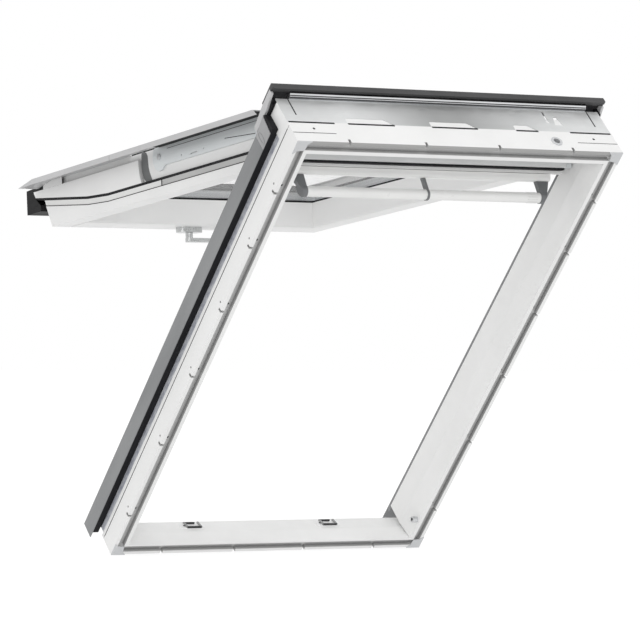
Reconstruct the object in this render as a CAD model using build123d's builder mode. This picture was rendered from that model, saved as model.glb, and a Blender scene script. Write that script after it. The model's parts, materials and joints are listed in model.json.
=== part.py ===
from build123d import *
import math
import os

# Top-hung roof window with its frame, shown open as it stands in a pitched roof.
# Every piece is drawn with the window shut and flat in one local frame: X runs across the
# window, Z runs up the slope from the frame's lower edge, and Y runs from the room outwards.
# The moving pieces are then turned to the open position, and all of it to the roof's slope.
# An inset is measured in from the frame's side, a drop down from its top edge or from the
# point named beside it, and a rise outwards from the frame's outer face.

# Overall sizes of the frame
frame_width = 780.0
frame_height = 1178.0
frame_depth = 104.0
roof_pitch = 47.0
open_angle = 41.0
origin_out = 23.5

# Lining groove round the room side of the frame
strip_thick = 8.0
groove_width = 16.0
groove_depth = 10.0
lip_width = 9.0
bottom_lip = 4.0
notch_width = 6.0
notch_places = (88.0, 268.0)
nail_rows_low = (133.0, 346.0, 545.0)
nail_row_drops = (448.0, 272.0, 125.0)
nail_below = 14.0
nail_hole_radius = 2.0
nail_hole_depth = 8.0
dimple_radius = 2.5
dimple_depth = 1.5
dimple_height = 14.0

# Frame members
side_reveal_in = 40.0
side_step_height = 50.0
white_face_height = 47.0
ledge_groove = 1.2
ledge_height = 58.5
shoulder_step = 4.0
bottom_reveal_drop = 6.0
bottom_step_height = 43.0
bottom_back_sink = 20.0
bottom_back_rise = 10.0
bottom_back_cut = 4.0
top_back_cut = 4.0
corner_block_length = 46.0
corner_block_rise = 14.0

# Metal and rubber on the frame
foil_thick = 2.0
foil_height = 16.5
seal_thick = 6.0
seal_head_wide = 6.0
seal_head_drop = 8.0
cladding_proud = 15.0
cladding_thick = 1.5
cladding_drop = 41.0
cladding_rise = 11.5
cladding_overhang = 22.0
cladding_end_drop = 89.0
cladding_inset = 36.0
cover_gap = 0.5
cover_rise = 5.5
cover_oval_long = 34.0
cover_oval_wide = 13.0
cover_oval_line = 2.0
cover_oval_proud = 0.6
plate_thick = 1.5
plate_low = 60.0
plate_rise = 26.0
plate_cut_height = 17.0
plate_cut_slant = 21.0
plate_cut_round = 6.0
plate_cuts = ((-250.0, -139.0), (-52.0, 60.0), (152.0, 208.0))
plate_slit_inset = 30.0
plate_slit_width = 3.0
plate_slit_length = 46.0
plate_slit_depth = 5.0
plate_line_wide = 1.4
plate_line_deep = 3.0
plate_line_inset = 104.0
keyhole_inset = 144.0
keyhole_rise = 1.0
keyhole_long = 37.0
keyhole_wide = 4.0
keyhole_bulb = 4.5
window_inset = 120.0
window_sink = 10.0
window_wide = 20.0
window_high = 26.0
window_slant = 6.0
bead_inset = 33.0
bead_width = 12.0
bead_slope = 4.0
cap_rise = 43.0
cap_thick = 3.5
cap_reach = 25.0
cap_lip_drop = 16.0
cap_lip_thick = 5.0
cap_overhang = 11.0
cap_tail = 28.0
cap_corner = 6.0
cap_slot_gap = 2.0
hood_end_drop = 84.0
hood_end_height = 14.0
hood_end_thick = 5.0
hood_end_tuck = 1.0

# Hinge at the head of the frame and pivot at mid height
hinge_drop = 10.0
hinge_rise = 28.0
hinge_pin_radius = 5.0
pivot_off_middle = 14.0
pivot_rise = 2.0
pivot_pin_radius = 5.0
pin_clearance = 0.05
swing_angle = 160.0

# Lifting arms, measured along the slope from the pivot or down from the hinge
arm_wall_gap = 0.5
arm_thick = 4.0
arm_low_sink = 18.0
arm_neck_sink = 4.0
arm_end_radius = 30.0
arm_hinge_radius = 8.0
arm_tab_drop = 54.0
arm_tab_high_drop = 34.0
arm_slot_long = 32.0
arm_slot_wide = 2.5
arm_slot_past = 156.0
arm_slot_sink = 11.0
arm_hole_radius = 2.0
arm_hole_past = (102.0, 201.0)
arm_hole_sink = 8.0
arm_crease_wide = 1.2
arm_crease_deep = 0.6
arm_crease_drop = (299.0, 168.0)
arm_crease_sink = (1.5, 10.0)
rail_drop = 52.0
rail_depth = 16.0
rail_room = 24.0
rail_out = 46.0
rail_wall = 3.0
rail_ear = 8.0
rail_ear_drop = 48.0
rail_seal_drop = 59.0
rail_seal_high = 16.0
rail_seal_thick = 4.0

# Sash
sash_side_gap = 9.0
sash_recess = 7.5
sash_rim = 47.0
sash_room = 22.0
sash_rise = 8.0
sash_top_drop = 72.0
sash_foot = -36.0
sash_corner = 52.0
bevel_up = 20.0
bevel_sink = 24.0
drip_up = 16.0
drip_sink = 16.0
nose_up = -23.0
nose_sink = 12.0
nose_end_rise = 4.0
glass_shelf_sink = 23.0
side_wall = 6.5
rib_thick = 5.5
rib_reach = 65.0
rib_gap = 0.3
glass_low = 98.0
glass_top_drop = 18.0
rebate_gap = 2.0
pane_thick = 4.0
pane_gap = 16.0
shelf_seal = 4.0
shelf_inset = 1.0
cap_seal_wide = 7.0
spacer_wide = 9.0
spacer_inset = 3.0
bottom_rail_top = 130.0
top_rail_drop = 42.0
top_rail_end_drop = 16.0
top_step_drop = 18.0
top_lip = 7.0
edge_round = 5.0
band_low = 42.0
strip_width = 13.0
strip_gap = 1.0
gasket_width = 6.0
bend_high = 333.0
bend_low = 233.0
bend_rise = 6.0
foot_rise = 38.0
trim_past = 12.0
trim_inset = 1.0
pad_radius = 92.0
pin_inset = 5.5
pin_head_radius = 7.0
pin_head_gap = 0.3
pin_head_thick = 2.0

# Outer casings of the sash
casing_inset = 2.0
casing_rise = 25.0
casing_low_rise = 13.0
casing_thick = 1.5
casing_cover = 15.5
casing_joint = 138.0
casing_gap = 2.0
casing_foot = -20.0
casing_slant = 73.0
casing_end_drop = 72.0
casing_end_slant = 16.0
casing_reach = 136.0
casing_arm_gap = 8.0
casing_apron_gap = 1.0
glass_cover_gap = 0.5
glass_cover_thick = 1.5
apron_low = -74.0
apron_wall = 12.0
apron_foot_sink = 40.0
apron_leg = 14.0
apron_reach = -3.0
apron_rise = 21.0
apron_nose_rise = 15.0
apron_high = 96.0

# Vent flap and control bar, measured down from the top end of the sash
flap_inset = 27.0
flap_drop = 31.0
flap_length = 25.0
flap_room = -1.0
flap_thick = 15.0
flap_round = 6.0
flap_pivot_drop = 24.0
flap_pivot_out = 7.0
flap_pin_radius = 2.5
flap_pin_long = 5.5
flap_ear = 6.0
flap_ear_radius = 5.5
flap_side_gap = 0.5
bar_radius = 11.0
bar_drop = 8.0
bar_out = -37.0
bar_inset = 31.0
grip_long = 24.0
grip_inset = 8.0
grip_rib = 1.2
grip_ribs = 12
bracket_thick = 5.0
bracket_wall = 1.5
bracket_wide = 29.0
bracket_tip = 6.0
middle_bracket = 5.0

# Handle and locks
handle_up = 92.0
handle_across = -13.0
rosette_long = 64.0
rosette_wide = 30.0
rosette_thick = 12.0
neck_radius = 8.5
neck_length = 13.0
neck_gap = 0.3
lever_length = 112.0
lever_wide = 19.0
lever_thick = 9.0
spindle_radius = 4.0
lock_place = 172.0
lock_travel = 14.0
lock_radius = 4.0
lock_out = 65.0
lock_proud = 8.5
lock_bar_wide = 9.0
lock_bar_thick = 6.0
lock_bar_over = 20.0
lock_gap = 0.4
striker_length = 62.0
striker_width = 22.0
striker_thick = 2.0
striker_wall = 4.0
striker_ear_gap = 6.0
striker_hole = 2.0
bolt_drop = 33.0
bolt_out = 27.0
bolt_radius = 3.0
bolt_length = 34.0
bolt_clearance = 0.5
bolt_rest = 1.0
bolt_travel = 7.5
bolt_knob_radius = 2.5
bolt_knob_inset = 14.0
bolt_knob_proud = 5.0
bush_radius = 6.5
bush_gap = 2.0
bush_depth = 19.0

# Corner pieces, grommet and small fixings of the frame
clip_leg = 34.0
clip_thick = 2.0
grommet_inset = 152.0
grommet_out = 28.0
grommet_radius = 10.0
grommet_wall = 2.5
grommet_proud = 2.0
top_hole_inset = 54.0
top_hole_out = 40.0
top_hole_radius = 3.0
ledge_line_inset = 100.0
ledge_line_out = 26.5
ledge_line_wide = 1.2
hinge_pin_head = 2.0
hinge_plate = 2.0
hinge_plate_long = 38.0
hinge_side_gap = 2.0

# Places across the window, counted from its middle
half = frame_width / 2
groove_out = half - strip_thick
groove_in = groove_out - groove_width
lip_edge = groove_in - lip_width
side_inner = half - side_reveal_in
shoulder = half - shoulder_step
cladding_out = half + cladding_proud
cladding_inner = half - cladding_inset
plate_slit_place = half - plate_slit_inset
keyhole_across = half - keyhole_inset
window_across = half - window_inset
bead_half = half - bead_inset
sash_half = side_inner - sash_side_gap
sash_wall = sash_half - sash_recess
sash_inner = sash_half - sash_rim
arm_inner = sash_wall + arm_wall_gap
glass_half = sash_wall - side_wall - rebate_gap
rib_inner = sash_wall - rib_thick
casing_out = half - casing_inset
casing_inner = sash_wall - casing_cover
casing_split = sash_half + casing_apron_gap
glass_cover_out = rib_inner - glass_cover_gap
flap_half = sash_half - flap_inset
bar_half = flap_half - bar_inset
bolt_knob_place = sash_half - bolt_knob_inset
bush_inner = sash_half + bush_gap

# Places outwards from the room side of the frame
corner_block_height = frame_depth + corner_block_rise
cladding_top = frame_depth + cladding_rise
plate_high = frame_depth + plate_rise
keyhole_out = frame_depth + keyhole_rise
window_out = frame_depth - window_sink
cap_top = frame_depth + cap_rise
hinge_out = frame_depth + hinge_rise
pivot_out = frame_depth + pivot_rise
arm_low = frame_depth - arm_low_sink
arm_neck = frame_depth - arm_neck_sink
sash_wall_top = frame_depth + sash_rise
glass_shelf = frame_depth - glass_shelf_sink
pane_in = glass_shelf + shelf_seal
pane_mid = pane_in + pane_thick
pane_far = pane_mid + pane_gap
pane_out = pane_far + pane_thick
casing_top = frame_depth + casing_rise
casing_low = frame_depth + casing_low_rise
casing_skin = casing_top - casing_thick
apron_foot = frame_depth - apron_foot_sink
apron_top = frame_depth + apron_rise
apron_nose = frame_depth + apron_nose_rise
bottom_back_height = frame_depth - bottom_back_sink
top_back = frame_depth - top_back_cut
bevel_out = frame_depth - bevel_sink
drip_out = frame_depth - drip_sink

# Places up the slope from the frame's lower edge
top_lip_edge = frame_height - strip_thick - groove_width - lip_width
top_run = frame_height - top_lip_edge
bottom_lip_edge = strip_thick + groove_width + bottom_lip
nail_rows = nail_rows_low + tuple(frame_height - drop for drop in nail_row_drops)
block_low = frame_height - corner_block_length
cladding_end = frame_height - cladding_end_drop
cover_end = block_low
hood_end_low = frame_height - hood_end_drop
hinge_up = frame_height - hinge_drop
pivot_up = frame_height / 2 - pivot_off_middle
arm_tab_low = hinge_up - arm_tab_drop
arm_tab_high = hinge_up - arm_tab_high_drop
rail_low = hinge_up - rail_drop
rail_ear_up = hinge_up - rail_ear_drop
rail_seal_low = hinge_up - rail_seal_drop
rail_seal_end = rail_seal_low + rail_seal_high
sash_top_end = frame_height - sash_top_drop
glass_high = sash_top_end - glass_top_drop
top_rail_low = sash_top_end - top_rail_drop
top_rail_end = sash_top_end - top_rail_end_drop
top_step_up = sash_top_end - top_step_drop
trim_split = pivot_up + trim_past
casing_end = hinge_up - casing_end_drop
joint_up = pivot_up - casing_joint
flap_low = sash_top_end - flap_drop
flap_pivot_up = sash_top_end - flap_pivot_drop
bar_up = sash_top_end - bar_drop
bolt_up = sash_top_end - bolt_drop
foot_line = ((sash_room, sash_corner), (bevel_out, bevel_up), (drip_out, drip_up),
             (frame_depth - nose_sink, nose_up), (frame_depth + nose_end_rise, sash_foot))

os.makedirs("parts", exist_ok=True)

# Roof slope about the middle of the lower outer face, which is the origin, and the open
# position of whatever the top hinge carries
slope = Rotation(90 - roof_pitch, 0, 0) * Pos(0, -origin_out, 0)
hinge_line = Pos(0, hinge_out, hinge_up)
opened = slope * hinge_line * Rotation(open_angle, 0, 0) * hinge_line.inverse()


def save(builder, name, place):
    """Put a finished piece in its place and write it to its own file."""
    piece = place * builder.part
    piece.label = name
    export_step(piece, f"parts/{name}.step")


def outline(*points, mode=Mode.ADD):
    """Fill a closed outline of straight edges in the sketch that is open."""
    Polygon(*points, align=None, mode=mode)


def across(height):
    """Plane that cuts the window at one height; its axes are across and outwards."""
    return Plane.XY.offset(height)


def along(place):
    """Plane that cuts the window at one place across; its axes are outwards and up."""
    return Plane.YZ.offset(place)


def facing(depth):
    """Plane parallel to the glass at one depth; its axes are across and up."""
    return Plane.XZ.offset(-depth)


def swung(up, out):
    """Where a point of the shut sash lies once the sash is turned over for cleaning."""
    turn = math.radians(swing_angle)
    rise = up - pivot_up
    reach = out - pivot_out
    return (pivot_up + rise * math.cos(turn) + reach * math.sin(turn),
            pivot_out - rise * math.sin(turn) + reach * math.cos(turn))


sides = (("left", -1), ("right", 1))
bush_up, bush_out = swung(bolt_up, bolt_out)
slit_out = plate_high - plate_slit_length / 2 - plate_slit_width

# Side members of the frame, with the lining groove, the nail holes and the white head block
for hand, s in sides:
    with BuildPart() as frame_side:
        with BuildSketch(across(0)):
            outline((s * half, 0), (s * half, white_face_height),
                    (s * (half - ledge_groove), white_face_height),
                    (s * (half - ledge_groove), white_face_height + ledge_groove),
                    (s * half, white_face_height + ledge_groove), (s * half, ledge_height),
                    (s * shoulder, ledge_height), (s * shoulder, frame_depth),
                    (s * side_inner, frame_depth), (s * side_inner, side_step_height),
                    (s * lip_edge, 0), (s * groove_in, 0), (s * groove_in, groove_depth),
                    (s * groove_out, groove_depth), (s * groove_out, 0))
        extrude(amount=frame_height)
        with BuildSketch(across(block_low)):
            with Locations((s * (side_inner + half) / 2, (ledge_height + corner_block_height) / 2)):
                Rectangle(half - side_inner, corner_block_height - ledge_height)
        extrude(amount=corner_block_length - plate_thick)
        with BuildSketch(facing(0)):
            outline((s * half, 0), (s * (half - bottom_lip_edge), bottom_lip_edge),
                    (s * (side_inner - lip_width), bottom_lip_edge), (s * (side_inner - lip_width), 0))
            outline((s * half, frame_height), (s * (half - top_run), top_lip_edge),
                    (s * (side_inner - lip_width), top_lip_edge),
                    (s * (side_inner - lip_width), frame_height))
        extrude(amount=-frame_depth, mode=Mode.SUBTRACT)
        with BuildSketch(facing(0)):
            for row in nail_rows:
                with Locations((s * (half - strip_thick / 2), row - nail_below)):
                    Rectangle(strip_thick, notch_width)
        extrude(amount=-groove_depth, mode=Mode.SUBTRACT)
        with BuildSketch(facing(groove_depth)):
            for row in nail_rows:
                with Locations((s * (groove_in + groove_out) / 2, row)):
                    Circle(nail_hole_radius)
        extrude(amount=-nail_hole_depth, mode=Mode.SUBTRACT)
        with BuildSketch(along(s * half)):
            for row in nail_rows:
                with Locations((dimple_height, row)):
                    Circle(dimple_radius)
        extrude(amount=-s * dimple_depth, mode=Mode.SUBTRACT)
        with BuildSketch(across(frame_height - plate_thick)):
            with Locations((s * plate_slit_place, slit_out)):
                Rectangle(plate_slit_width, plate_slit_length)
        extrude(amount=-plate_slit_depth, mode=Mode.SUBTRACT)
        if s > 0:
            with BuildSketch(along(bush_inner)):
                with Locations((bush_out, bush_up)):
                    Circle(bush_radius)
            extrude(amount=bush_depth, mode=Mode.SUBTRACT)
    save(frame_side, f"frame_side_{hand}", slope)

# Bottom member, with a reveal that drains outwards
with BuildPart() as frame_bottom:
    with BuildSketch(along(-half)):
        outline((0, 0), (0, strip_thick), (groove_depth, strip_thick),
                (groove_depth, strip_thick + groove_width), (0, strip_thick + groove_width),
                (0, bottom_lip_edge), (bottom_step_height, bottom_lip_edge - bottom_reveal_drop),
                (bottom_back_height, bottom_back_rise), (bottom_back_height, bottom_back_cut),
                (ledge_height, bottom_back_cut), (ledge_height, 0))
    extrude(amount=frame_width)
    with BuildSketch(facing(0)):
        outline((-half, 0), (half, 0), (half - bottom_lip_edge, bottom_lip_edge),
                (bottom_lip_edge - half, bottom_lip_edge))
    extrude(amount=-bottom_back_height, mode=Mode.INTERSECT)
    with BuildSketch(facing(0)):
        for place in notch_places:
            for s in (-1, 1):
                with Locations((s * place, strip_thick / 2)):
                    Rectangle(notch_width, strip_thick)
    extrude(amount=-groove_depth, mode=Mode.SUBTRACT)
save(frame_bottom, "frame_bottom", slope)

# Top member, with the cable hole, two small holes, and the fine lines and slits at the plate
grommet_across = half - grommet_inset
plate_edge = half - plate_thick
plate_ends = ((-plate_edge, plate_line_inset - half), (half - plate_line_inset, plate_edge))
with BuildPart() as frame_top:
    with BuildSketch(along(-half)):
        outline((0, frame_height), (0, frame_height - strip_thick),
                (groove_depth, frame_height - strip_thick),
                (groove_depth, frame_height - strip_thick - groove_width),
                (0, frame_height - strip_thick - groove_width), (0, top_lip_edge),
                (top_back, top_lip_edge), (top_back, frame_height - plate_thick),
                (plate_low, frame_height - plate_thick), (plate_low, frame_height))
    extrude(amount=frame_width)
    with BuildSketch(facing(0)):
        outline((-half, frame_height), (half, frame_height), (half - top_run, top_lip_edge),
                (top_run - half, top_lip_edge))
    extrude(amount=-top_back, mode=Mode.INTERSECT)
    with BuildSketch(facing(0)):
        for place in notch_places:
            for s in (-1, 1):
                with Locations((s * place, frame_height - strip_thick / 2)):
                    Rectangle(notch_width, strip_thick)
    extrude(amount=-groove_depth, mode=Mode.SUBTRACT)
    with BuildSketch(across(frame_height)):
        with Locations((grommet_across, grommet_out)):
            Circle(grommet_radius)
        with Locations((top_hole_inset - half, top_hole_out), (half - top_hole_inset, top_hole_out)):
            Circle(top_hole_radius)
    extrude(amount=-strip_thick, mode=Mode.SUBTRACT)
    with BuildSketch(across(frame_height)):
        line_middle = half - ledge_line_inset / 2
        with Locations((-line_middle, ledge_line_out), (line_middle, ledge_line_out)):
            Rectangle(ledge_line_inset, ledge_line_wide)
    extrude(amount=-ledge_line_wide, mode=Mode.SUBTRACT)
    with BuildSketch(across(frame_height)):
        for start, end in plate_cuts + plate_ends:
            with Locations(((start + end) / 2, plate_low - plate_line_wide / 2)):
                Rectangle(end - start, plate_line_wide)
    extrude(amount=-plate_line_deep, mode=Mode.SUBTRACT)
    with BuildSketch(across(frame_height - plate_thick)):
        with Locations((-plate_slit_place, slit_out), (plate_slit_place, slit_out)):
            Rectangle(plate_slit_width, plate_slit_length)
    extrude(amount=-plate_slit_depth, mode=Mode.SUBTRACT)
save(frame_top, "frame_top", slope)

# Grey corner pieces over the mitres of the lining groove
clip_inner = strip_thick + groove_width
for level, base, turn in (("bottom", 0, 1), ("top", frame_height, -1)):
    with BuildPart() as corner_clips:
        with BuildSketch(facing(0)):
            for hand, s in sides:
                outline((s * half, base), (s * (half - clip_leg), base),
                        (s * (half - clip_leg + strip_thick), base + turn * strip_thick),
                        (s * (half - clip_inner), base + turn * clip_inner),
                        (s * (half - strip_thick), base + turn * (clip_leg - strip_thick)),
                        (s * half, base + turn * clip_leg))
        extrude(amount=clip_thick)
    save(corner_clips, f"corner_clips_{level}", slope)

# Strikers on the draining reveal of the bottom member: a plate with two ears and a web
reveal_run = bottom_back_height - bottom_step_height
reveal_fall = bottom_lip_edge - bottom_reveal_drop - bottom_back_rise
on_reveal = Plane(origin=(0, bottom_step_height + reveal_run / 2, bottom_back_rise + reveal_fall / 2),
                  x_dir=(1, 0, 0), z_dir=(0, reveal_fall, reveal_run))
ear_place = lock_travel / 2 + lock_radius + striker_ear_gap
with BuildPart() as strikers:
    with BuildSketch(on_reveal):
        for s in (-1, 1):
            with Locations((s * lock_place, 0)):
                SlotOverall(striker_length, striker_width)
                with GridLocations(striker_length - striker_width, 1, 2, 1):
                    Circle(striker_hole, mode=Mode.SUBTRACT)
    extrude(amount=striker_thick)
    with BuildSketch(on_reveal.offset(striker_thick)):
        for s in (-1, 1):
            with Locations((s * lock_place, 0)):
                with GridLocations(2 * ear_place, 1, 2, 1):
                    Rectangle(striker_wall, striker_width)
                with Locations((0, (striker_thick - striker_width) / 2)):
                    Rectangle(2 * ear_place, striker_thick)
    extrude(amount=striker_wall)
save(strikers, "strikers", slope)

# Socket that the barrel bolt runs into when the sash is turned over
with BuildPart() as bolt_bush:
    with BuildSketch(along(bush_inner)):
        with Locations((bush_out, bush_up)):
            Circle(bush_radius)
            Circle(bolt_radius + bolt_clearance, mode=Mode.SUBTRACT)
    extrude(amount=bush_depth)
save(bolt_bush, "bolt_bush", slope)

# Cable grommet in the head of the frame
with BuildPart() as cable_grommet:
    with BuildSketch(across(frame_height - strip_thick)):
        with Locations((grommet_across, grommet_out)):
            Circle(grommet_radius)
    extrude(amount=strip_thick)
    with BuildSketch(across(frame_height)):
        with Locations((grommet_across, grommet_out)):
            Circle(grommet_radius + grommet_wall)
    extrude(amount=grommet_proud)
    with BuildSketch(across(frame_height - strip_thick)):
        with Locations((grommet_across, grommet_out)):
            Circle(grommet_radius - grommet_wall)
    extrude(amount=strip_thick + grommet_proud, mode=Mode.SUBTRACT)
save(cable_grommet, "cable_grommet", slope)

# Foil-faced strips, rubber seals, grey claddings and their head covers on both sides
seal_outer = cladding_out - cladding_thick
seal_low = ledge_height + foil_height
seal_high = seal_low + seal_thick
cover_seal = corner_block_height + seal_thick
cladding_foot = cladding_top - cladding_drop
cladding_under = cladding_top - cladding_thick
seal_bend = block_low + 2 * seal_thick
with BuildPart() as foil_strips:
    for hand, s in sides:
        with BuildSketch(along(s * shoulder)):
            outline((ledge_height, strip_thick), (seal_low, strip_thick),
                    (seal_low, block_low), (ledge_height, block_low))
        extrude(amount=s * foil_thick)
save(foil_strips, "foil_strips", slope)

for hand, s in sides:
    with BuildPart() as side_seal:
        with BuildSketch(along(s * half)):
            outline((seal_low, -strip_thick), (seal_high, -strip_thick), (seal_high, block_low),
                    (cover_seal, block_low + seal_thick), (corner_block_height, seal_bend),
                    (seal_low, seal_bend))
        extrude(amount=s * (seal_outer - half))
        with BuildSketch(along(s * half)):
            outline((corner_block_height, block_low + seal_thick), (cover_seal, block_low + seal_thick),
                    (cover_seal, frame_height - seal_head_drop),
                    (corner_block_height, frame_height - seal_head_drop))
        extrude(amount=s * seal_head_wide)
        with BuildSketch(along(s * shoulder)):
            outline((seal_low, strip_thick), (seal_high, strip_thick),
                    (seal_high, block_low), (seal_low, block_low))
        extrude(amount=s * (half - shoulder))
    save(side_seal, f"side_seal_{hand}", slope)

    with BuildPart() as side_cladding:
        with BuildSketch(along(s * seal_outer)):
            outline((cladding_foot, -cladding_overhang), (cladding_top, -cladding_overhang),
                    (cladding_top, cladding_end), (cladding_foot, cladding_end))
        extrude(amount=s * cladding_thick)
        with BuildSketch(across(-cladding_overhang)):
            outline((s * seal_outer, cladding_under), (s * seal_outer, cladding_top),
                    (s * cladding_inner, cladding_top), (s * cladding_inner, cladding_under))
        extrude(amount=cladding_end + cladding_overhang)
        with BuildSketch(across(strip_thick)):
            outline((s * cladding_inner, frame_depth), (s * cladding_inner, cladding_under),
                    (s * (cladding_inner + cladding_thick), cladding_under),
                    (s * (cladding_inner + cladding_thick), frame_depth))
        extrude(amount=cladding_end - strip_thick)
    save(side_cladding, f"side_cladding_{hand}", slope)

    with BuildPart() as head_cover:
        cover_low = cladding_end + cover_gap
        with BuildSketch(along(s * seal_outer)):
            outline((cladding_foot, cover_low), (cladding_top, cover_low),
                    (cladding_top + cover_rise, cover_end + cover_rise), (cladding_foot, cover_end))
        extrude(amount=s * cladding_thick)
        with BuildSketch(along(s * cladding_out)):
            oval_out = (cladding_foot + cladding_top) / 2
            with Locations((oval_out, cover_low + cover_oval_wide)):
                Ellipse(cover_oval_long / 2, cover_oval_wide / 2)
                Ellipse(cover_oval_long / 2 - cover_oval_line, cover_oval_wide / 2 - cover_oval_line,
                        mode=Mode.SUBTRACT)
        extrude(amount=s * cover_oval_proud)
        with BuildSketch(across(cover_low)):
            outline((s * seal_outer, cladding_under), (s * seal_outer, cladding_top),
                    (s * cladding_inner, cladding_top), (s * cladding_inner, cladding_under))
        extrude(amount=cover_end - cover_low)
    save(head_cover, f"head_cover_{hand}", slope)

# Steel face plate along the head, with its cut-outs, keyhole, window and end slits
with BuildPart() as head_plate:
    with BuildSketch(across(frame_height - plate_thick)):
        outline((-plate_edge, plate_low), (plate_edge, plate_low), (plate_edge, plate_high),
                (-plate_edge, plate_high))
        with Locations((-plate_slit_place, slit_out), (plate_slit_place, slit_out)):
            Rectangle(plate_slit_width, plate_slit_length, mode=Mode.SUBTRACT)
        with Locations(Location((keyhole_across, keyhole_out, 0), (0, 0, 90))):
            SlotOverall(keyhole_long, keyhole_wide, mode=Mode.SUBTRACT)
        with Locations((keyhole_across, keyhole_out - keyhole_long / 2 + keyhole_bulb)):
            Circle(keyhole_bulb, mode=Mode.SUBTRACT)
        outline((window_across - window_wide / 2, window_out - window_high / 2),
                (window_across + window_wide / 2, window_out - window_high / 2),
                (window_across + window_wide / 2 - window_slant, window_out + window_high / 2),
                (window_across - window_wide / 2 + window_slant, window_out + window_high / 2),
                mode=Mode.SUBTRACT)
    extrude(amount=plate_thick)
    with BuildSketch(across(frame_height - plate_thick)) as notches:
        for start, end in plate_cuts:
            outline((start, plate_low), (end, plate_low),
                    (end - plate_cut_slant, plate_low + plate_cut_height),
                    (start, plate_low + plate_cut_height))
        fillet(notches.vertices().group_by(Axis.Y)[-1], plate_cut_round)
    extrude(amount=plate_thick, mode=Mode.SUBTRACT)
save(head_plate, "head_plate", slope)

cap_under = cap_top - cap_thick
with BuildPart() as head_bead:
    with BuildSketch(along(-bead_half)):
        outline((plate_high, frame_height - plate_thick), (plate_high, frame_height + bead_width / 2),
                (plate_high + bead_slope, frame_height + bead_width),
                (cap_under, frame_height + bead_width), (cap_under, frame_height - plate_thick))
    extrude(amount=2 * bead_half)
save(head_bead, "head_bead", slope)

# Dark cap over the head: top sheet with slots for the arms, rounded lip and solid ends
cap_half = half + cap_overhang
with BuildPart() as head_cap:
    with BuildSketch(facing(cap_under)):
        outline((-cap_half, frame_height - cap_tail), (cap_half, frame_height - cap_tail),
                (cap_half, frame_height + cap_reach), (-cap_half, frame_height + cap_reach))
        for hand, s in sides:
            outline((s * (arm_inner - cap_slot_gap), frame_height - cap_tail),
                    (s * (arm_inner + arm_thick + cap_slot_gap), frame_height - cap_tail),
                    (s * (arm_inner + arm_thick + cap_slot_gap), hinge_up),
                    (s * (arm_inner - cap_slot_gap), hinge_up), mode=Mode.SUBTRACT)
    extrude(amount=-cap_thick)
    with BuildSketch(across(frame_height + cap_reach - cap_lip_thick)) as lip:
        outline((-cap_half, cap_top - cap_lip_drop), (cap_half, cap_top - cap_lip_drop),
                (cap_half, cap_top), (-cap_half, cap_top))
        fillet(lip.vertices().group_by(Axis.Y)[0], cap_corner)
    extrude(amount=cap_lip_thick)
    with BuildSketch(across(frame_height + bead_width)):
        for hand, s in sides:
            outline((s * bead_half, cap_top - cap_lip_drop + cap_corner),
                    (s * cap_half, cap_top - cap_lip_drop + cap_corner),
                    (s * cap_half, cap_under), (s * bead_half, cap_under))
    extrude(amount=cap_reach - cap_lip_thick - bead_width)
save(head_cap, "head_cap", slope)

for hand, s in sides:
    with BuildPart() as hood_end:
        with BuildSketch(along(s * (cap_half - hood_end_thick))):
            outline((cover_seal, hood_end_low), (cover_seal + hood_end_height, hood_end_low),
                    (cap_under, frame_height - cap_tail), (cap_under, frame_height + bead_width),
                    (cap_top - cap_lip_drop + hood_end_tuck, frame_height + bead_width),
                    (cover_seal, frame_height - cap_tail))
        extrude(amount=s * hood_end_thick)
    save(hood_end, f"hood_end_{hand}", slope)

# Hinge brackets on the white blocks of the frame's head, and their fixed pins
bracket_place = arm_inner + arm_thick + hinge_side_gap
plate_bottom = frame_height - plate_thick - hinge_plate_long
with BuildPart() as hinge_brackets:
    for hand, s in sides:
        with BuildSketch(along(s * bracket_place)):
            outline((corner_block_height, plate_bottom), (corner_block_height, frame_height - plate_thick),
                    (hinge_out, frame_height - plate_thick), (hinge_out + arm_hinge_radius, hinge_up),
                    (hinge_out, hinge_up - arm_hinge_radius))
            with Locations((hinge_out, hinge_up)):
                Circle(arm_hinge_radius)
                Circle(hinge_pin_radius, mode=Mode.SUBTRACT)
        extrude(amount=s * bracket_thick)
        with BuildSketch(facing(corner_block_height)):
            outline((s * bracket_place, plate_bottom), (s * shoulder, plate_bottom),
                    (s * shoulder, frame_height - plate_thick),
                    (s * bracket_place, frame_height - plate_thick))
        extrude(amount=-hinge_plate)
save(hinge_brackets, "hinge_brackets", slope)

with BuildPart() as hinge_pins:
    for hand, s in sides:
        pin_start = arm_inner - hinge_side_gap
        with BuildSketch(along(s * pin_start)):
            with Locations((hinge_out, hinge_up)):
                Circle(hinge_pin_radius)
        extrude(amount=s * (bracket_place + bracket_thick - pin_start))
        with BuildSketch(along(s * pin_start)):
            with Locations((hinge_out, hinge_up)):
                Circle(hinge_pin_radius + hinge_pin_head)
        extrude(amount=-s * hinge_pin_head)
save(hinge_pins, "hinge_pins", slope)

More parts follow.
